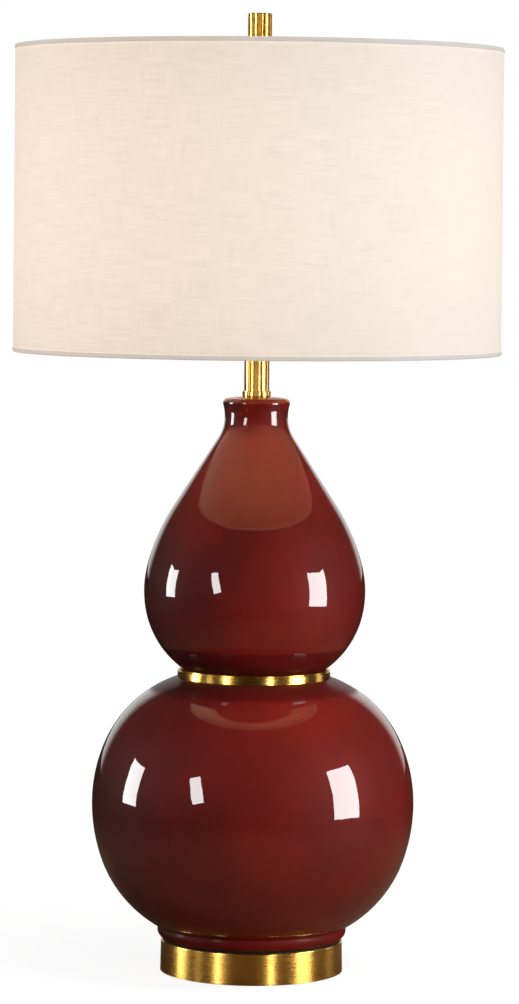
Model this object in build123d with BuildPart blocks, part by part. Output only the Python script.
"""Double gourd table lamp: two glazed ceramic gourds on a brass base, with a harp-held drum shade.

Millimetres, +Z up. The origin is the centre of the base on the surface it stands on, the front of the
lamp faces -Y, the harp stands in the XZ plane and the cord goes in at the back, +Y.
"""

import os
from dataclasses import dataclass
from math import acos, cos, degrees, radians, sin

from build123d import *

# ---------------------------------------------------------------- driving dimensions
# Clearances
seat_gap = 0.1            # between flat faces of pieces that turn or lift off
running_gap = 0.08        # radial, between a pin and the hole that turns on it
loose_gap = 0.3           # radial, where one piece drops freely inside another
slip_gap = 0.5            # radial, between a spigot and a ceramic mouth

# Base
pad_thickness = 1.6
pad_reveal = 0.6          # how far the pad stands below the brass rim
cup_lip = 3.8             # cup's top radius past the middle of the ceramic bead
cup_flare = 0.5           # how much wider the cup is at the foot than at the top
cup_height = 25.7         # from the brass rim to the top face
cup_wall = 1.2
cup_edge = 1.0            # rolled top edge
weight_inset = 6.0        # from the cup's inside to the weight's side
nut_well_radius = 19.0
nut_well_depth = 11.0
gasket_thickness = 1.2
gasket_setback = 1.8      # how far the gasket hides under the cup's edge
gasket_width = 13.0

# Cord inlet
inlet_height = 10.5
cord_bore = 2.9
bushing_wall = 1.7
bushing_flange = 6.4
bushing_flange_thickness = 1.3
bushing_barb = 0.5
bushing_reach = 4.0       # how far the sleeve goes past the inside of the wall
cord_channel_width = 9.0
cord_channel_height = 9.0

# Threaded pipe and its nut
pipe_radius = 4.85
pipe_bore = 3.2
pipe_tail = 0.8           # pipe showing below the nut
nut_across_flats = 15.9
nut_thickness = 4.8
lock_washer_radius = 8.2
lock_washer_thickness = 1.6
lock_washer_slit = 1.2
washer_radius = 15.0
washer_thickness = 1.5

# Lower gourd: two arcs up and two arcs down from its widest point
lower_radius = 133.96
ceramic_wall = 6.0
lower_crown_near_radius = 123.9
lower_crown_near_sweep = 23.9
lower_crown_far_radius = 99.6
lower_crown_far_sweep = 47.2
lower_hip_near_radius = 140.6
lower_hip_near_sweep = 18.8
lower_hip_far_radius = 103.0
lower_hip_far_sweep = 43.4
lower_floor_sweep = 47.0  # inside arc down to the floor
lower_rim_width = 8.5
bead_radius = 7.0
bead_overlap = 5.4        # how far the body runs over the bead's middle
bead_drop = 2.6           # from the end of the body's arc to the bead's middle
foot_ring_width = 13.0
foot_recess = 2.0
pipe_hole_radius = 6.0

# Waist ring
waist_radius = 63.6
waist_band_height = 6.0
waist_groove_height = 0.4
waist_groove_depth = 1.3
waist_lip_height = 1.0
waist_lip_setback = 0.8
waist_edge = 0.35
waist_web_thickness = 1.6
waist_spigot_wall = 1.6
waist_spigot_height = 6.0

# Upper gourd
upper_radius = 92.13
upper_crown_near_radius = 86.7
upper_crown_near_sweep = 14.7
upper_crown_far_radius = 174.8
upper_crown_far_sweep = 18.1
upper_hip_near_radius = 89.0
upper_hip_near_sweep = 9.3
upper_hip_far_radius = 76.9
upper_hip_far_sweep = 45.3
cone_length = 65.9
neck_arc_radius = 32.35
neck_flare_radius = 37.0
neck_flare_sweep = 16.5
rim_roll_radius = 3.7
rim_dome_sweep = 14.0     # arc that rises from the rolled rim to the collar's foot
neck_web_thickness = 7.0
ceramic_edge = 1.2        # softened bottom edge

# Neck tube between the ceramic and the harp
collar_radius = 11.8
collar_height = 4.8
collar_floor = 1.5
collar_edge = 0.7
tube_radius = 10.5
tube_wall = 1.0
tube_length = 42.8
tube_fit = 0.05
neck_cap_radius = 12.5
neck_cap_height = 5.0
neck_cap_roof = 2.0

# Harp saddle and harp
saddle_thickness = 1.5
saddle_width = 12.0
saddle_disc_radius = 13.0
saddle_bend = 0.6
saddle_prong_width = 5.0
saddle_prong_height = 12.5
saddle_tip_edge = 1.6     # rounded tips of the prongs
harp_half_span = 36.0
harp_half_width = 62.0
harp_height = 228.6
harp_wire = 2.0
harp_foot_lift = 1.2      # harp's feet above the saddle
harp_straight = 25.0      # straight stretch of each leg
harp_side_radius = 300.0
harp_side_sweep = 22.0
harp_corner_radius = 36.0
harp_eye_radius = 7.5
harp_eye_thickness = 2.6
ferrule_bore = 3.2
ferrule_wall = 0.8
ferrule_height = 12.0
ferrule_edge = 0.25
stud_radius = 3.05
stud_collar_radius = 6.5
stud_collar_thickness = 2.0
stud_post_height = 14.0
stud_point = 0.75
rivet_radius = 2.2
rivet_head_radius = 4.0
rivet_head_thickness = 1.6

# Socket
socket_radius = 18.0
socket_height = 66.0      # from the saddle to the shell's mouth
shell_wall = 0.6
cap_wall = 0.9
cap_neck_radius = 7.0
cap_neck_height = 5.0
cap_bowl_height = 9.0
cap_rim_height = 6.0
shell_tuck = 4.0          # how deep the shell sits in the cap's rim
liner_wall = 0.8
liner_setback = 1.5
core_radius = 15.0
core_height = 22.0
core_flange_height = 3.0  # flange that centres the core in its sleeve
core_rise = 13.0          # from the cap's foot to the core's underside
core_flat = 12.0
thread_shell_radius = 14.3
thread_shell_wall = 0.45
thread_shell_height = 27.0
contact_radius = 4.0
contact_height = 2.4
contact_foot = 0.8
contact_hole_radius = 8.0 # hole in the screw shell's floor, round the contact
terminal_head_radius = 2.8
terminal_head_thickness = 1.6
terminal_shank_radius = 1.5
terminal_shank_length = 4.0
set_screw_radius = 1.5
set_screw_reach = 2.4

# Switch
switch_height = 10.0      # above the core's underside
stem_radius = 2.0
stem_depth = 8.0          # distance of the stem's inner end from the axis
stem_hole_gap = 1.2
knob_radius = 5.5
knob_tip_radius = 4.8
knob_length = 12.0
knob_standoff = 2.0       # from the socket shell to the knob
knob_grip_depth = 7.0
knob_flutes = 12
knob_flute_radius = 0.6

# Bulb
bulb_tip_radius = 3.4
bulb_tip_height = 1.6
bulb_insulator_radius = 9.5
bulb_insulator_height = 3.0
bulb_cap_radius = 13.15
bulb_cap_wall = 0.4
bulb_cap_height = 20.0
bulb_cap_taper = 1.5      # height of the cap's slanted lower edge
bulb_housing_height = 38.0
bulb_housing_curve = 58.0
bulb_globe_radius = 30.0
bulb_globe_wall = 1.4
bulb_globe_sink = 14.5    # how far the globe's middle lies above its seam

# Shade
shade_radius = 203.2
shade_height = 254.0
shade_drop = 12.7         # spider's hub below the shade's top edge
binding_thickness = 0.35
binding_show = 3.8
binding_turn = 5.5        # how far the binding runs down inside
cover_thickness = 0.45
backing_thickness = 0.5
ring_wire = 1.6
arm_count = 3
arm_first_angle = 90.0
arm_step_in = 9.0         # level stretch of an arm beside the ring
arm_slope = 17.0          # sloping stretch of an arm
arm_bend = 10.0
arm_socket = 4.0          # how deep an arm sits in the hub
hub_radius = 12.7
hub_edge = 0.5

# Finial
finial_radius = 10.1
finial_height = 37.4
finial_edge = 0.6
finial_bore_depth = 16.0

STANDING = (Align.CENTER, Align.CENTER, Align.MIN)
HANGING = (Align.CENTER, Align.CENTER, Align.MAX)


@dataclass
class Swell:
    """Two tangent arcs that leave a gourd's widest point upright and run up (way 1) or down (-1)."""

    widest: float
    height: float
    way: int
    near: float
    near_sweep: float
    far: float
    far_sweep: float

    def centre(self):
        """Centre of the far arc, as radius and height."""
        shift = self.near - self.far
        angle = radians(self.near_sweep)
        return (
            self.widest - self.near + shift * cos(angle),
            self.height + self.way * shift * sin(angle),
        )

    def end(self, inset=0.0, far_sweep=None):
        """End of the far arc, as radius and height, with the whole outline moved inwards by inset."""
        sweep = self.far_sweep if far_sweep is None else far_sweep
        angle = radians(self.near_sweep + sweep)
        reach = self.far - inset
        return (
            self.centre()[0] + reach * cos(angle),
            self.centre()[1] + self.way * reach * sin(angle),
        )

    def draw(self, inset=0.0, far_sweep=None):
        """Adds both arcs to the line being built."""
        sweep = self.far_sweep if far_sweep is None else far_sweep
        start = (self.widest - inset, self.height)
        near = JernArc(start, (0, self.way), self.near - inset, self.way * self.near_sweep)
        return JernArc(near @ 1, near % 1, self.far - inset, self.way * sweep)


# ---------------------------------------------------------------- heights, stacked up from the floor
cup_low = pad_reveal
cup_top = cup_low + cup_height
foot_height = cup_top + gasket_thickness

lower_hip_rise = Swell(
    lower_radius, 0, 1,
    lower_hip_near_radius, lower_hip_near_sweep, lower_hip_far_radius, lower_hip_far_sweep,
).end()[1]
bead_height = foot_height + bead_radius
lower_widest_height = bead_height + bead_drop + lower_hip_rise
lower_crown = Swell(
    lower_radius, lower_widest_height, 1,
    lower_crown_near_radius, lower_crown_near_sweep, lower_crown_far_radius, lower_crown_far_sweep,
)
lower_hip = Swell(
    lower_radius, lower_widest_height, -1,
    lower_hip_near_radius, lower_hip_near_sweep, lower_hip_far_radius, lower_hip_far_sweep,
)
bead_middle_radius = lower_hip.end()[0] - bead_overlap
lower_rim_radius, waist_low = lower_crown.end()
lower_mouth_radius = lower_rim_radius - lower_rim_width

waist_height = waist_band_height + waist_groove_height + waist_lip_height
upper_low = waist_low + waist_height
upper_hip_rise = Swell(
    upper_radius, 0, 1,
    upper_hip_near_radius, upper_hip_near_sweep, upper_hip_far_radius, upper_hip_far_sweep,
).end()[1]
upper_widest_height = upper_low + upper_hip_rise
upper_crown = Swell(
    upper_radius, upper_widest_height, 1,
    upper_crown_near_radius, upper_crown_near_sweep, upper_crown_far_radius, upper_crown_far_sweep,
)
upper_hip = Swell(
    upper_radius, upper_widest_height, -1,
    upper_hip_near_radius, upper_hip_near_sweep, upper_hip_far_radius, upper_hip_far_sweep,
)
cone_lean = radians(upper_crown_near_sweep + upper_crown_far_sweep)
flare_lean = radians(neck_flare_sweep)
neck_height = upper_crown.end()[1] + cone_length * cos(cone_lean) + neck_arc_radius * sin(cone_lean)
roll_height = neck_height + neck_flare_radius * sin(flare_lean) + rim_roll_radius * sin(flare_lean)
neck_radius = upper_crown.end()[0] - cone_length * sin(cone_lean) - neck_arc_radius * (1 - cos(cone_lean))
roll_middle = neck_radius + neck_flare_radius * (1 - cos(flare_lean)) - rim_roll_radius * cos(flare_lean)
dome_lean = radians(rim_dome_sweep)
rim_dome_radius = (roll_middle - collar_radius) / sin(dome_lean) + rim_roll_radius
rim_height = roll_height + rim_roll_radius * cos(dome_lean) + rim_dome_radius * (1 - cos(dome_lean))
upper_mouth_reach = upper_hip_far_radius - ceramic_wall
upper_mouth_angle = degrees(
    acos((1 - (upper_hip_far_radius / upper_mouth_reach) ** 2
          * sin(radians(upper_hip_near_sweep + upper_hip_far_sweep)) ** 2) ** 0.5)
)
upper_mouth_sweep = upper_mouth_angle - upper_hip_near_sweep
upper_mouth_radius = upper_hip.end(ceramic_wall, upper_mouth_sweep)[0]

tube_low = rim_height + collar_floor
tube_top = tube_low + tube_length
saddle_low = tube_top + neck_cap_roof
saddle_top = saddle_low + saddle_thickness
pipe_top = saddle_top + cap_neck_height + cap_wall
harp_low = saddle_top + harp_foot_lift
hub_low = harp_low + harp_height
shade_top = hub_low + shade_drop
shade_low = shade_top - shade_height
hub_thickness = 2 * ring_wire
finial_low = hub_low + hub_thickness + seat_gap

# ---------------------------------------------------------------- base
cup_top_radius = bead_middle_radius + cup_lip
cup_foot_radius = cup_top_radius + cup_flare
cup_inside_foot = cup_foot_radius - cup_wall
cup_inside_top = cup_top_radius - cup_wall
ceiling = cup_top - cup_wall
weight_radius = cup_inside_top - weight_inset
nut_well_top = pad_thickness + nut_well_depth

with BuildPart() as base_pad:
    Cylinder(cup_inside_foot - loose_gap, pad_thickness, align=STANDING)
base_pad.part.label = "base_pad"
pieces = [base_pad]

with BuildPart() as cup_form:
    with BuildSketch(Plane.XZ):
        with BuildLine():
            Polyline(
                (0, cup_low),
                (cup_foot_radius, cup_low),
                (cup_top_radius, cup_top),
                (0, cup_top),
                close=True,
            )
        make_face()
    revolve(axis=Axis.Z)

with BuildPart() as base_cup:
    with BuildSketch(Plane.XZ):
        with BuildLine():
            Polyline(
                (pipe_hole_radius, cup_top),
                (cup_top_radius, cup_top),
                (cup_foot_radius, cup_low),
                (cup_inside_foot, cup_low),
                (cup_inside_top, ceiling),
                (pipe_hole_radius, ceiling),
                close=True,
            )
        make_face()
    revolve(axis=Axis.Z)
    rim = base_cup.edges().filter_by(GeomType.CIRCLE).filter_by(lambda edge: edge.radius > cup_inside_top)
    fillet(rim.sort_by(Axis.Z)[-1], cup_edge)
    with BuildSketch(Plane.XZ.offset(-cup_foot_radius)):
        with Locations((0, inlet_height)):
            Circle(cord_bore + bushing_wall)
    extrude(amount=bushing_flange + bushing_reach, mode=Mode.SUBTRACT)
base_cup.part.label = "base_cup"
pieces.append(base_cup)

with BuildPart(Plane.XY.offset(pad_thickness)) as base_weight:
    Cylinder(weight_radius, ceiling - pad_thickness, align=STANDING)
    Cylinder(pipe_hole_radius, ceiling - pad_thickness, align=STANDING, mode=Mode.SUBTRACT)
    Cylinder(nut_well_radius, nut_well_depth, align=STANDING, mode=Mode.SUBTRACT)
    with Locations((0, weight_radius / 2, inlet_height - pad_thickness)):
        Box(cord_channel_width, weight_radius, cord_channel_height, mode=Mode.SUBTRACT)
    with Locations((0, weight_radius / 2, 0)):
        Box(
            cord_channel_width, weight_radius, inlet_height - pad_thickness,
            align=STANDING, mode=Mode.SUBTRACT,
        )
    top_circles = base_weight.edges().filter_by(GeomType.CIRCLE).group_by(Axis.Z)[-1]
    chamfer(top_circles.sort_by(SortBy.RADIUS)[-1], cup_edge)
base_weight.part.label = "base_weight"
pieces.append(base_weight)

sleeve_inner_end = cup_inside_top - bushing_reach
with BuildPart() as cord_bushing:
    with BuildSketch(Plane.XZ.offset(-cup_foot_radius - bushing_flange_thickness)):
        with Locations((0, inlet_height)):
            Circle(bushing_flange)
    extrude(amount=bushing_flange_thickness + bushing_reach)
    add(cup_form.part, mode=Mode.SUBTRACT)
    outer_face = cord_bushing.faces().sort_by(Axis.Y)[-1]
    fillet(outer_face.edges(), bushing_flange_thickness / 2)
    with BuildSketch(Plane.XZ.offset(-cup_foot_radius)):
        with Locations((0, inlet_height)):
            Circle(cord_bore + bushing_wall)
    extrude(amount=cup_foot_radius - sleeve_inner_end)
    with BuildSketch(Plane.XZ.offset(-sleeve_inner_end - bushing_reach / 2)):
        with Locations((0, inlet_height)):
            Circle(cord_bore + bushing_wall + bushing_barb)
    extrude(amount=bushing_reach / 2)
    with BuildSketch(Plane.XZ.offset(-cup_foot_radius - bushing_flange_thickness)):
        with Locations((0, inlet_height)):
            Circle(cord_bore)
    extrude(amount=cup_foot_radius, mode=Mode.SUBTRACT)
cord_bushing.part.label = "cord_bushing"
pieces.append(cord_bushing)

washer_low = nut_well_top - washer_thickness
with BuildPart(Plane.XY.offset(washer_low)) as base_washer:
    Cylinder(washer_radius, washer_thickness, align=STANDING)
    Cylinder(pipe_radius + running_gap, washer_thickness, align=STANDING, mode=Mode.SUBTRACT)
base_washer.part.label = "base_washer"
pieces.append(base_washer)

lock_washer_low = washer_low - lock_washer_thickness
with BuildPart(Plane.XY.offset(lock_washer_low)) as lock_washer:
    Cylinder(lock_washer_radius, lock_washer_thickness, align=STANDING)
    Cylinder(pipe_radius + running_gap, lock_washer_thickness, align=STANDING, mode=Mode.SUBTRACT)
    with Locations((lock_washer_radius / 2, 0, 0)):
        Box(lock_washer_radius, lock_washer_slit, lock_washer_thickness, align=STANDING, mode=Mode.SUBTRACT)
lock_washer.part.label = "lock_washer"
pieces.append(lock_washer)

nut_low = lock_washer_low - nut_thickness
with BuildPart() as base_nut:
    with BuildSketch(Plane.XY.offset(nut_low)):
        RegularPolygon(nut_across_flats / 2, 6, major_radius=False)
        Circle(pipe_radius + running_gap, mode=Mode.SUBTRACT)
    extrude(amount=nut_thickness)
base_nut.part.label = "base_nut"
pieces.append(base_nut)

pipe_low = nut_low - pipe_tail
with BuildPart(Plane.XY.offset(pipe_low)) as threaded_pipe:
    Cylinder(pipe_radius, pipe_top - pipe_low, align=STANDING)
    Cylinder(pipe_bore, pipe_top - pipe_low, align=STANDING, mode=Mode.SUBTRACT)
threaded_pipe.part.label = "threaded_pipe"
pieces.append(threaded_pipe)

gasket_radius = cup_top_radius - gasket_setback
with BuildPart(Plane.XY.offset(cup_top)) as foot_gasket:
    Cylinder(gasket_radius, gasket_thickness, align=STANDING)
    Cylinder(gasket_radius - gasket_width, gasket_thickness, align=STANDING, mode=Mode.SUBTRACT)
foot_gasket.part.label = "foot_gasket"
pieces.append(foot_gasket)

# ---------------------------------------------------------------- ceramic bodies
mouth_cosine = (lower_mouth_radius - lower_crown.centre()[0]) / (lower_crown_far_radius - ceramic_wall)
lower_mouth_sweep = degrees(acos(mouth_cosine)) - lower_crown_near_sweep
foot_ring_radius = bead_middle_radius - foot_ring_width
floor_low = foot_height + foot_recess

with BuildPart() as lower_gourd:
    with BuildSketch(Plane.XZ):
        with BuildLine():
            crown = lower_crown.draw()
            hip = lower_hip.draw()
            Polyline(
                hip @ 1,
                (bead_middle_radius, bead_height),
                (bead_middle_radius, foot_height),
                (foot_ring_radius, foot_height),
                (foot_ring_radius, floor_low),
                (pipe_hole_radius, floor_low),
                (pipe_hole_radius, lower_hip.end(ceramic_wall, lower_floor_sweep)[1]),
                lower_hip.end(ceramic_wall, lower_floor_sweep),
            )
            lower_hip.draw(ceramic_wall, lower_floor_sweep)
            lower_crown.draw(ceramic_wall, lower_mouth_sweep)
            Polyline(
                lower_crown.end(ceramic_wall, lower_mouth_sweep),
                (lower_mouth_radius, waist_low),
                crown @ 1,
            )
        make_face()
        with Locations((bead_middle_radius, bead_height)):
            Circle(bead_radius)
    revolve(axis=Axis.Z)
lower_gourd.part.label = "lower_gourd"
pieces.append(lower_gourd)

web_low = waist_low + (waist_band_height - waist_web_thickness) / 2
web_high = web_low + waist_web_thickness
lower_spigot = lower_mouth_radius - slip_gap
upper_spigot = upper_mouth_radius - slip_gap
band_top = waist_low + waist_band_height
groove_top = band_top + waist_groove_height
lip_radius = waist_radius - waist_lip_setback

with BuildPart() as waist_ring:
    with BuildSketch(Plane.XZ):
        with BuildLine():
            Polyline(
                (pipe_radius + running_gap, web_low),
                (lower_spigot - waist_spigot_wall, web_low),
                (lower_spigot - waist_spigot_wall, waist_low - waist_spigot_height),
                (lower_spigot, waist_low - waist_spigot_height),
                (lower_spigot, waist_low),
                (waist_radius, waist_low),
                (waist_radius, band_top),
                (waist_radius - waist_groove_depth, band_top),
                (waist_radius - waist_groove_depth, groove_top),
                (lip_radius, groove_top),
                (lip_radius, upper_low),
                (upper_spigot, upper_low),
                (upper_spigot, upper_low + waist_spigot_height),
                (upper_spigot - waist_spigot_wall, upper_low + waist_spigot_height),
                (upper_spigot - waist_spigot_wall, web_high),
                (pipe_radius + running_gap, web_high),
                close=True,
            )
        make_face()
        fillet(vertices().filter_by(lambda corner: corner.X > lip_radius - waist_edge), waist_edge)
    revolve(axis=Axis.Z)
waist_ring.part.label = "waist_ring"
pieces.append(waist_ring)

with BuildPart() as upper_gourd:
    with BuildSketch(Plane.XZ):
        with BuildLine():
            lean = upper_crown_near_sweep + upper_crown_far_sweep
            crown = upper_crown.draw()
            cone = Line(crown @ 1, (crown @ 1) + (crown % 1) * cone_length)
            throat = JernArc(cone @ 1, cone % 1, neck_arc_radius, -lean)
            flare = JernArc(throat @ 1, throat % 1, neck_flare_radius, -neck_flare_sweep)
            roll = JernArc(
                flare @ 1, flare % 1, rim_roll_radius, 90 + neck_flare_sweep - rim_dome_sweep
            )
            dome = JernArc(roll @ 1, roll % 1, rim_dome_radius, rim_dome_sweep)
            hip = upper_hip.draw()
            inner_hip = upper_hip.draw(ceramic_wall, upper_mouth_sweep)
            Line(hip @ 1, inner_hip @ 1)
            inner_crown = upper_crown.draw(ceramic_wall)
            inner_cone = Line(inner_crown @ 1, (inner_crown @ 1) + (inner_crown % 1) * cone_length)
            inner_throat = JernArc(inner_cone @ 1, inner_cone % 1, neck_arc_radius + ceramic_wall, -lean)
            Polyline(
                inner_throat @ 1,
                ((inner_throat @ 1).X, rim_height - neck_web_thickness),
                (pipe_hole_radius, rim_height - neck_web_thickness),
                (pipe_hole_radius, rim_height),
                dome @ 1,
            )
        make_face()
    revolve(axis=Axis.Z)
    bottom_rim = upper_gourd.edges().filter_by(GeomType.CIRCLE).group_by(Axis.Z)[0]
    fillet(bottom_rim.sort_by(SortBy.RADIUS)[-1], ceramic_edge)
upper_gourd.part.label = "upper_gourd"
pieces.append(upper_gourd)

# ---------------------------------------------------------------- neck
with BuildPart(Plane.XY.offset(rim_height)) as neck_collar:
    Cylinder(collar_radius, collar_height, align=STANDING)
    fillet(neck_collar.edges().filter_by(GeomType.CIRCLE), collar_edge)
    Cylinder(pipe_radius + running_gap, collar_height, align=STANDING, mode=Mode.SUBTRACT)
    with Locations((0, 0, collar_floor)):
        Cylinder(tube_radius + tube_fit, collar_height, align=STANDING, mode=Mode.SUBTRACT)
neck_collar.part.label = "neck_collar"
pieces.append(neck_collar)

with BuildPart(Plane.XY.offset(tube_low)) as neck_tube:
    Cylinder(tube_radius, tube_length, align=STANDING)
    Cylinder(tube_radius - tube_wall, tube_length, align=STANDING, mode=Mode.SUBTRACT)
neck_tube.part.label = "neck_tube"
pieces.append(neck_tube)

with BuildPart(Plane.XY.offset(saddle_low)) as neck_cap:
    Cylinder(neck_cap_radius, neck_cap_height, align=HANGING)
    fillet(neck_cap.edges().filter_by(GeomType.CIRCLE), collar_edge)
    Cylinder(pipe_radius + running_gap, neck_cap_height, align=HANGING, mode=Mode.SUBTRACT)
    with Locations((0, 0, -neck_cap_roof)):
        Cylinder(tube_radius + tube_fit, neck_cap_height, align=HANGING, mode=Mode.SUBTRACT)
neck_cap.part.label = "neck_cap"
pieces.append(neck_cap)

# ---------------------------------------------------------------- harp saddle and harp
prong_face = harp_half_span - seat_gap
prong_top = saddle_low + saddle_prong_height
with BuildPart() as harp_saddle:
    with BuildSketch(Plane.XZ):
        with Locations((0, saddle_low)):
            Rectangle(2 * prong_face, saddle_prong_height, align=(Align.CENTER, Align.MIN))
        fillet(vertices().group_by(Axis.Y)[0], saddle_bend + saddle_thickness)
        with BuildSketch(mode=Mode.SUBTRACT):
            with Locations((0, saddle_top)):
                Rectangle(
                    2 * (prong_face - saddle_thickness), saddle_prong_height, align=(Align.CENTER, Align.MIN)
                )
            fillet(vertices().group_by(Axis.Y)[0], saddle_bend)
    extrude(amount=saddle_prong_width / 2, both=True)
    strip_length = 2 * (prong_face - saddle_thickness - saddle_bend)
    with Locations((0, 0, saddle_low)):
        Box(strip_length, saddle_width, saddle_thickness, align=STANDING)
        Cylinder(saddle_disc_radius, saddle_thickness, align=STANDING)
        Cylinder(pipe_radius + running_gap, saddle_thickness, align=STANDING, mode=Mode.SUBTRACT)
    tips = harp_saddle.edges().filter_by(Axis.X).group_by(Axis.Z)[-1]
    fillet(tips, saddle_tip_edge)
harp_saddle.part.label = "harp_saddle"
pieces.append(harp_saddle)

eye_top = hub_low - seat_gap - stud_collar_thickness
harp_crown = eye_top - harp_eye_thickness / 2
side_lean = radians(harp_side_sweep)
side_rise = harp_side_radius * sin(side_lean) + harp_corner_radius * (1 - sin(side_lean))
knee_low = harp_low + harp_straight
knee_rise = harp_crown - side_rise - knee_low
knee_reach = harp_half_width - harp_half_span
knee_radius = (knee_rise**2 + knee_reach**2) / (4 * knee_reach)
knee_sweep = degrees(acos(1 - knee_reach / (2 * knee_radius)))
eye_low = eye_top - harp_eye_thickness

with BuildPart() as harp_bow:
    with BuildLine(Plane.XZ) as leg_line:
        straight = Line((harp_half_span, harp_low), (harp_half_span, knee_low))
        outward = JernArc(straight @ 1, (0, 1), knee_radius, -knee_sweep)
        upright = JernArc(outward @ 1, outward % 1, knee_radius, knee_sweep)
        side = JernArc(upright @ 1, (0, 1), harp_side_radius, harp_side_sweep)
        corner = JernArc(side @ 1, side % 1, harp_corner_radius, 90 - harp_side_sweep)
        Line(corner @ 1, (0, harp_crown))
    with BuildSketch(Plane.XY.offset(harp_low)):
        with Locations((harp_half_span, 0)):
            Circle(harp_wire)
    sweep(path=leg_line.line)
    mirror(about=Plane.YZ)
    with Locations((0, 0, eye_top)):
        Cylinder(harp_eye_radius, harp_wire, align=STANDING, mode=Mode.SUBTRACT)
    with Locations((0, 0, eye_low)):
        Cylinder(harp_eye_radius, harp_wire, align=HANGING, mode=Mode.SUBTRACT)
        Cylinder(harp_eye_radius, harp_eye_thickness, align=STANDING)
        Cylinder(rivet_radius + running_gap, harp_eye_thickness, align=STANDING, mode=Mode.SUBTRACT)
    flat_top = prong_top + saddle_thickness
    with Locations((0, 0, harp_low)):
        Box(
            2 * harp_half_span, saddle_prong_width, flat_top - harp_low, align=STANDING, mode=Mode.SUBTRACT
        )
harp_bow.part.label = "harp_bow"
pieces.append(harp_bow)

with BuildPart() as harp_stud:
    with BuildSketch(Plane.XZ):
        with BuildLine():
            Polyline(
                (0, eye_low - rivet_head_thickness),
                (rivet_head_radius, eye_low - rivet_head_thickness),
                (rivet_head_radius, eye_low),
                (rivet_radius, eye_low),
                (rivet_radius, eye_top),
                (stud_collar_radius, eye_top),
                (stud_collar_radius, eye_top + stud_collar_thickness),
                (stud_radius, eye_top + stud_collar_thickness),
                (stud_radius, hub_low + stud_post_height),
                (0, hub_low + stud_post_height),
                close=True,
            )
        make_face()
    revolve(axis=Axis.Z)
    chamfer(harp_stud.edges().sort_by(Axis.Z)[-1], stud_point)
harp_stud.part.label = "harp_stud"
pieces.append(harp_stud)

for side_name, way in (("left", -1), ("right", 1)):
    ferrule_plane = Plane.XY.offset(saddle_top + seat_gap).shift_origin(
        (way * harp_half_span, 0, saddle_top + seat_gap)
    )
    with BuildPart(ferrule_plane) as ferrule:
        Cylinder(ferrule_bore + ferrule_wall, ferrule_height, align=STANDING)
        Cylinder(ferrule_bore, ferrule_height, align=STANDING, mode=Mode.SUBTRACT)
        fillet(ferrule.edges().filter_by(GeomType.CIRCLE).group_by(Axis.Z)[-1], ferrule_edge)
    ferrule.part.label = f"harp_ferrule_{side_name}"
    pieces.append(ferrule)

# ---------------------------------------------------------------- socket
cap_low = saddle_top
cap_rim_inside = socket_radius + tube_fit
cap_rim_outside = cap_rim_inside + cap_wall
cap_shoulder = cap_low + cap_neck_height + cap_bowl_height
cap_top = cap_shoulder + cap_rim_height
with BuildPart() as socket_cap:
    with BuildSketch(Plane.XZ):
        with BuildLine():
            neck = Polyline(
                (pipe_radius + running_gap, cap_low),
                (cap_neck_radius, cap_low),
                (cap_neck_radius, cap_low + cap_neck_height),
            )
            bowl = EllipticalCenterArc(
                (cap_neck_radius, cap_shoulder), cap_rim_outside - cap_neck_radius, cap_bowl_height,
                start_angle=-90, arc_size=90,
            )
            inner = EllipticalCenterArc(
                (cap_neck_radius, cap_shoulder), cap_rim_inside - cap_neck_radius,
                cap_bowl_height - cap_wall, start_angle=-90, arc_size=90,
            )
            Polyline(bowl @ 1, (cap_rim_outside, cap_top), (cap_rim_inside, cap_top), inner @ 1)
            Polyline(
                inner @ 0,
                (pipe_radius + running_gap, cap_low + cap_neck_height + cap_wall),
                (pipe_radius + running_gap, cap_low),
            )
        make_face()
    revolve(axis=Axis.Z)
    with BuildSketch(Plane.XZ.offset(-cap_neck_radius)):
        with Locations((0, cap_low + cap_neck_height / 2)):
            Circle(set_screw_radius + running_gap)
    extrude(amount=cap_neck_radius - pipe_radius, mode=Mode.SUBTRACT)
socket_cap.part.label = "socket_cap"
pieces.append(socket_cap)

with BuildPart() as cap_set_screw:
    with BuildSketch(Plane.XZ.offset(-pipe_radius)):
        with Locations((0, cap_low + cap_neck_height / 2)):
            Circle(set_screw_radius)
    extrude(amount=-set_screw_reach)
cap_set_screw.part.label = "cap_set_screw"
pieces.append(cap_set_screw)

shell_low = cap_top - shell_tuck
shell_top = saddle_top + socket_height
core_low = cap_low + core_rise
core_top = core_low + core_height
switch_axis = core_low + switch_height
with BuildPart(Plane.XY.offset(shell_low)) as socket_shell:
    Cylinder(socket_radius, shell_top - shell_low, align=STANDING)
    Cylinder(socket_radius - shell_wall, shell_top - shell_low, align=STANDING, mode=Mode.SUBTRACT)
    with BuildSketch(Plane.XZ):
        with Locations((0, switch_axis)):
            Circle(stem_radius + stem_hole_gap)
    extrude(amount=socket_radius + stem_hole_gap, mode=Mode.SUBTRACT)
socket_shell.part.label = "socket_shell"
pieces.append(socket_shell)

liner_radius = socket_radius - shell_wall
with BuildPart(Plane.XY.offset(shell_low)) as socket_sleeve:
    Cylinder(liner_radius, shell_top - shell_low - liner_setback, align=STANDING)
    Cylinder(liner_radius - liner_wall, shell_top - shell_low, align=STANDING, mode=Mode.SUBTRACT)
    with BuildSketch(Plane.XZ):
        with Locations((0, switch_axis)):
            Circle(stem_radius + stem_hole_gap)
    extrude(amount=socket_radius + stem_hole_gap, mode=Mode.SUBTRACT)
socket_sleeve.part.label = "socket_sleeve"
pieces.append(socket_sleeve)

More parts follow.
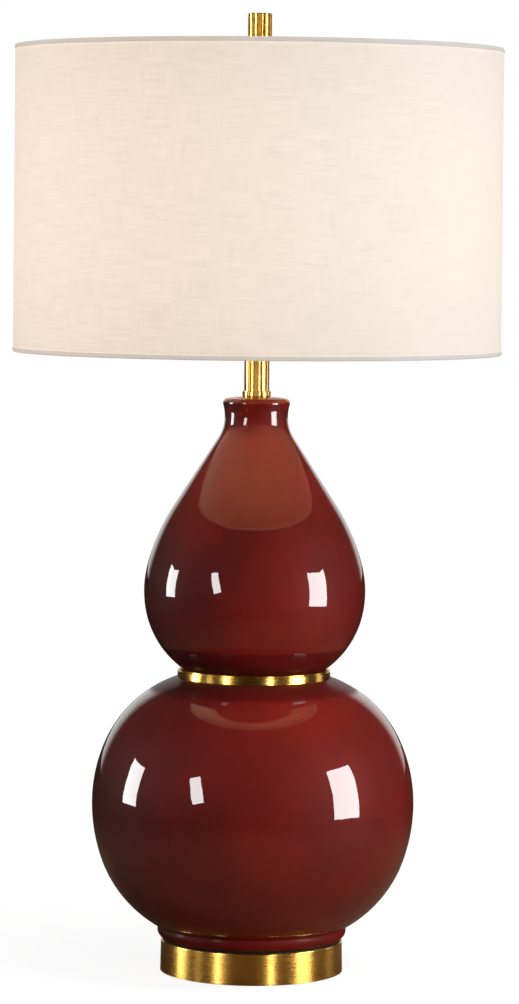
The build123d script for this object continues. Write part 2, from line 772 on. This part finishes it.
with BuildPart(Plane.XY.offset(core_low)) as socket_core:
    Cylinder(core_radius, core_height, align=STANDING)
    with Locations((0, 0, core_height)):
        Cylinder(liner_radius - liner_wall - tube_fit, core_flange_height, align=HANGING)
    with Locations((core_flat, 0, 0), (-core_flat - core_radius, 0, 0)):
        Box(
            core_radius, 2 * core_radius, 2 * switch_height,
            align=(Align.MIN, Align.CENTER, Align.CENTER), mode=Mode.SUBTRACT,
        )
    with BuildSketch(Plane.XZ.offset(stem_depth)):
        with Locations((0, switch_axis)):
            Circle(stem_radius + running_gap)
    extrude(amount=core_radius, mode=Mode.SUBTRACT)
    with BuildSketch(Plane.YZ.offset(-core_radius)):
        with Locations((0, core_low + switch_height / 2)):
            Circle(terminal_shank_radius)
    extrude(amount=core_radius - core_flat + terminal_shank_length, mode=Mode.SUBTRACT)
    with BuildSketch(Plane.YZ.offset(core_radius)):
        with Locations((0, core_low + switch_height / 2)):
            Circle(terminal_shank_radius)
    extrude(amount=-(core_radius - core_flat + terminal_shank_length), mode=Mode.SUBTRACT)
socket_core.part.label = "socket_core"
pieces.append(socket_core)

with BuildPart() as terminal_screws:
    with BuildSketch(Plane.YZ.offset(core_flat)):
        with Locations((0, core_low + switch_height / 2)):
            Circle(terminal_head_radius)
    extrude(amount=terminal_head_thickness)
    with BuildSketch(Plane.YZ.offset(core_flat)):
        with Locations((0, core_low + switch_height / 2)):
            Circle(terminal_shank_radius)
    extrude(amount=-terminal_shank_length)
    mirror(about=Plane.YZ)
terminal_screws.part.label = "terminal_screws"
pieces.append(terminal_screws)

with BuildPart(Plane.XY.offset(core_top)) as screw_shell:
    Cylinder(thread_shell_radius, thread_shell_height, align=STANDING)
    with Locations((0, 0, thread_shell_wall)):
        Cylinder(
            thread_shell_radius - thread_shell_wall, thread_shell_height, align=STANDING, mode=Mode.SUBTRACT
        )
    Cylinder(contact_hole_radius, thread_shell_height, align=STANDING, mode=Mode.SUBTRACT)
screw_shell.part.label = "screw_shell"
pieces.append(screw_shell)

with BuildPart() as centre_contact:
    with BuildSketch(Plane.XZ):
        with BuildLine():
            Polyline(
                (-contact_radius, core_top),
                (contact_radius, core_top),
                (contact_radius, core_top + contact_foot),
                (-contact_radius + contact_foot, core_top + contact_foot),
                (contact_radius / 2, core_top + contact_height - contact_foot),
                (contact_radius, core_top + contact_height - contact_foot),
                (contact_radius, core_top + contact_height),
                (0, core_top + contact_height),
                (-contact_radius, core_top + contact_foot),
                close=True,
            )
        make_face()
    extrude(amount=contact_radius / 2, both=True)
centre_contact.part.label = "centre_contact"
pieces.append(centre_contact)

# ---------------------------------------------------------------- switch
knob_near = socket_radius + knob_standoff
knob_far = knob_near + knob_length
with BuildPart() as switch_stem:
    with BuildSketch(Plane.XZ.offset(stem_depth)):
        with Locations((0, switch_axis)):
            Circle(stem_radius)
    extrude(amount=knob_near + knob_grip_depth - stem_depth)
switch_stem.part.label = "switch_stem"
pieces.append(switch_stem)

with BuildPart() as switch_knob:
    with BuildSketch(Plane.XZ.offset(knob_near)):
        with Locations((0, switch_axis)):
            Circle(knob_radius)
            with PolarLocations(knob_radius, knob_flutes):
                Circle(knob_flute_radius, mode=Mode.SUBTRACT)
    with BuildSketch(Plane.XZ.offset(knob_far)):
        with Locations((0, switch_axis)):
            Circle(knob_tip_radius)
            with PolarLocations(knob_tip_radius, knob_flutes):
                Circle(knob_flute_radius, mode=Mode.SUBTRACT)
    loft()
    with BuildSketch(Plane.XZ.offset(knob_near)):
        with Locations((0, switch_axis)):
            Circle(stem_radius)
    extrude(amount=knob_grip_depth, mode=Mode.SUBTRACT)
switch_knob.part.label = "switch_knob"
pieces.append(switch_knob)

# ---------------------------------------------------------------- bulb
tip_low = core_top + contact_height + seat_gap
insulator_low = tip_low + bulb_tip_height
bulb_cap_low = insulator_low + bulb_insulator_height
bulb_cap_top = bulb_cap_low + bulb_cap_height
seam_height = bulb_cap_top + bulb_housing_height
globe_middle = seam_height + bulb_globe_sink
seam_radius = (bulb_globe_radius**2 - bulb_globe_sink**2) ** 0.5

with BuildPart() as bulb_tip:
    with BuildSketch(Plane.XZ):
        with BuildLine():
            Polyline((bulb_tip_radius, insulator_low), (0, insulator_low), (0, tip_low))
            EllipticalCenterArc(
                (0, insulator_low), bulb_tip_radius, bulb_tip_height, start_angle=-90, arc_size=90
            )
        make_face()
    revolve(axis=Axis.Z)
bulb_tip.part.label = "bulb_tip"
pieces.append(bulb_tip)

with BuildPart(Plane.XY.offset(insulator_low)) as bulb_insulator:
    Cone(bulb_tip_radius + bulb_cap_wall, bulb_insulator_radius, bulb_insulator_height, align=STANDING)
bulb_insulator.part.label = "bulb_insulator"
pieces.append(bulb_insulator)

with BuildPart(Plane.XY.offset(bulb_cap_low)) as bulb_cap:
    Cylinder(bulb_cap_radius, bulb_cap_height, align=STANDING)
    chamfer(
        bulb_cap.edges().group_by(Axis.Z)[0],
        bulb_cap_taper, bulb_cap_radius - bulb_insulator_radius,
    )
    with Locations((0, 0, bulb_cap_wall)):
        Cylinder(
            bulb_insulator_radius - bulb_cap_wall, bulb_cap_height, align=STANDING, mode=Mode.SUBTRACT
        )
bulb_cap.part.label = "bulb_cap"
pieces.append(bulb_cap)

with BuildPart() as bulb_housing:
    with BuildSketch(Plane.XZ):
        with BuildLine():
            flank = RadiusArc(
                (bulb_cap_radius, bulb_cap_top), (seam_radius, seam_height), bulb_housing_curve
            )
            Polyline(flank @ 1, (0, seam_height), (0, bulb_cap_top), flank @ 0)
        make_face()
    revolve(axis=Axis.Z)
bulb_housing.part.label = "bulb_housing"
pieces.append(bulb_housing)

with BuildPart() as bulb_globe:
    with Locations((0, 0, globe_middle)):
        Sphere(bulb_globe_radius)
        Sphere(bulb_globe_radius - bulb_globe_wall, mode=Mode.SUBTRACT)
    split(bisect_by=Plane.XY.offset(seam_height), keep=Keep.TOP)
bulb_globe.part.label = "bulb_globe"
pieces.append(bulb_globe)

# ---------------------------------------------------------------- shade
cover_radius = shade_radius - binding_thickness
backing_radius = cover_radius - cover_thickness
ring_seat_radius = backing_radius - backing_thickness
ring_radius = ring_seat_radius - ring_wire
cloth_low = shade_low + binding_thickness
cloth_height = shade_height - 2 * binding_thickness
top_ring_height = shade_top - binding_thickness - ring_wire
bottom_ring_height = shade_low + binding_thickness + ring_wire
binding_inside = ring_radius - ring_wire - binding_thickness
hub_middle = hub_low + hub_thickness / 2

with BuildPart(Plane.XY.offset(cloth_low)) as shade_cover:
    Cylinder(cover_radius, cloth_height, align=STANDING)
    Cylinder(backing_radius, cloth_height, align=STANDING, mode=Mode.SUBTRACT)
shade_cover.part.label = "shade_cover"
pieces.append(shade_cover)

with BuildPart(Plane.XY.offset(cloth_low)) as shade_backing:
    Cylinder(backing_radius, cloth_height, align=STANDING)
    Cylinder(ring_seat_radius, cloth_height, align=STANDING, mode=Mode.SUBTRACT)
shade_backing.part.label = "shade_backing"
pieces.append(shade_backing)

with BuildPart() as shade_arm:
    with BuildLine(Plane.XZ) as arm_line:
        FilletPolyline(
            (hub_radius - arm_socket, hub_middle),
            (ring_radius - arm_step_in - arm_slope, hub_middle),
            (ring_radius - arm_step_in, top_ring_height),
            (ring_radius, top_ring_height),
            radius=arm_bend,
        )
    with BuildSketch(Plane.YZ.offset(hub_radius - arm_socket)):
        with Locations((0, hub_middle)):
            Circle(ring_wire)
    sweep(path=arm_line.line)

with BuildPart() as shade_spider:
    with Locations((0, 0, top_ring_height)):
        Torus(ring_radius, ring_wire)
    for index in range(arm_count):
        add(shade_arm.part, rotation=(0, 0, arm_first_angle + index * 360 / arm_count))
shade_spider.part.label = "shade_spider"
pieces.append(shade_spider)

with BuildPart() as spider_hub:
    with Locations((0, 0, hub_low)):
        Cylinder(hub_radius, hub_thickness, align=STANDING)
        fillet(spider_hub.edges().filter_by(GeomType.CIRCLE), hub_edge)
        Cylinder(stud_radius + running_gap, hub_thickness, align=STANDING, mode=Mode.SUBTRACT)
    add(shade_spider.part, mode=Mode.SUBTRACT)
spider_hub.part.label = "spider_hub"
pieces.append(spider_hub)

with BuildPart(Plane.XY.offset(bottom_ring_height)) as shade_bottom_ring:
    Torus(ring_radius, ring_wire)
shade_bottom_ring.part.label = "shade_bottom_ring"
pieces.append(shade_bottom_ring)

for edge_name, edge_height, inward in (("top", shade_top, -1), ("bottom", shade_low, 1)):
    with BuildPart() as binding:
        with BuildSketch(Plane.XZ):
            with BuildLine():
                Polyline(
                    (cover_radius, edge_height + inward * binding_show),
                    (shade_radius, edge_height + inward * binding_show),
                    (shade_radius, edge_height),
                    (binding_inside, edge_height),
                    (binding_inside, edge_height + inward * binding_turn),
                    (binding_inside + binding_thickness, edge_height + inward * binding_turn),
                    (binding_inside + binding_thickness, edge_height + inward * binding_thickness),
                    (cover_radius, edge_height + inward * binding_thickness),
                    close=True,
                )
            make_face()
        revolve(axis=Axis.Z)
        if edge_name == "top":
            with PolarLocations(binding_inside, arm_count, start_angle=arm_first_angle):
                with Locations((0, 0, top_ring_height)):
                    Cylinder(
                        ring_wire + loose_gap, 2 * (ring_wire + loose_gap),
                        rotation=(0, 90, 0), mode=Mode.SUBTRACT,
                    )
    binding.part.label = f"{edge_name}_binding"
    pieces.append(binding)

# ---------------------------------------------------------------- finial
with BuildPart(Plane.XY.offset(finial_low)) as finial:
    Cylinder(finial_radius, finial_height, align=STANDING)
    chamfer(finial.edges().filter_by(GeomType.CIRCLE), finial_edge)
    Cylinder(stud_radius + running_gap, finial_bore_depth, align=STANDING, mode=Mode.SUBTRACT)
finial.part.label = "finial"
pieces.append(finial)

os.makedirs("parts", exist_ok=True)
for piece in pieces:
    export_step(piece.part, f"parts/{piece.part.label}.step")
